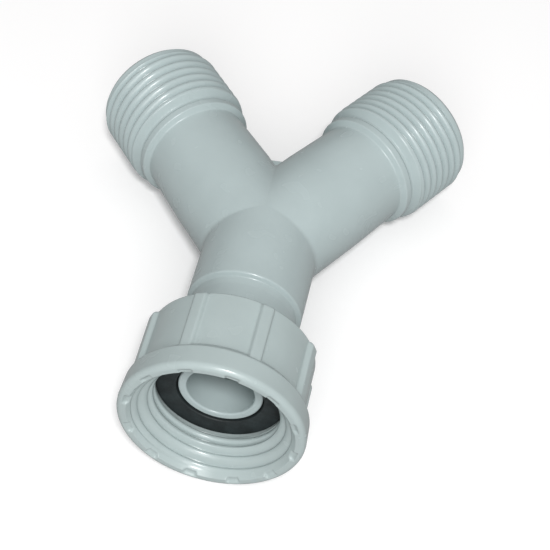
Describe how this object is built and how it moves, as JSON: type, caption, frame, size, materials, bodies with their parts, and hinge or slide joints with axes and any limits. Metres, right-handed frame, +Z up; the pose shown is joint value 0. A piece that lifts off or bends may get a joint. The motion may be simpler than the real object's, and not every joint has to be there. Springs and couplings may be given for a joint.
{
  "type": "tubing y connector",
  "caption": "Moulded Y connector for hoses: a loose ribbed union nut with a flat rubber washer on the inlet, and outlets with outside threads.",
  "frame": {"origin": "on the surface that the connector lies on, below the middle of its bounding box", "axes": "+Z up, -Y the way the union nut's mouth faces, +X towards the right outlet"},
  "size_m": [0.0768, 0.095, 0.0357],
  "materials": {
    "body_plastic": "satin moulded polypropylene, pale grey",
    "nut_plastic": "satin moulded polypropylene, pale grey",
    "washer_rubber": "matt black rubber"
  },
  "bodies": {
    "body": {"y_body": "body_plastic", "sealing_washer": "washer_rubber"},
    "nut": {"union_nut": "nut_plastic"}
  },
  "joints": [
    {"name": "nut_spin", "type": "hinge", "parent": "body", "child": "nut", "pos_m": [0.00213, -0.03698, 0.0174], "axis": [-0.0002, -0.9984, 0.0564], "continuous": true}
  ]
}
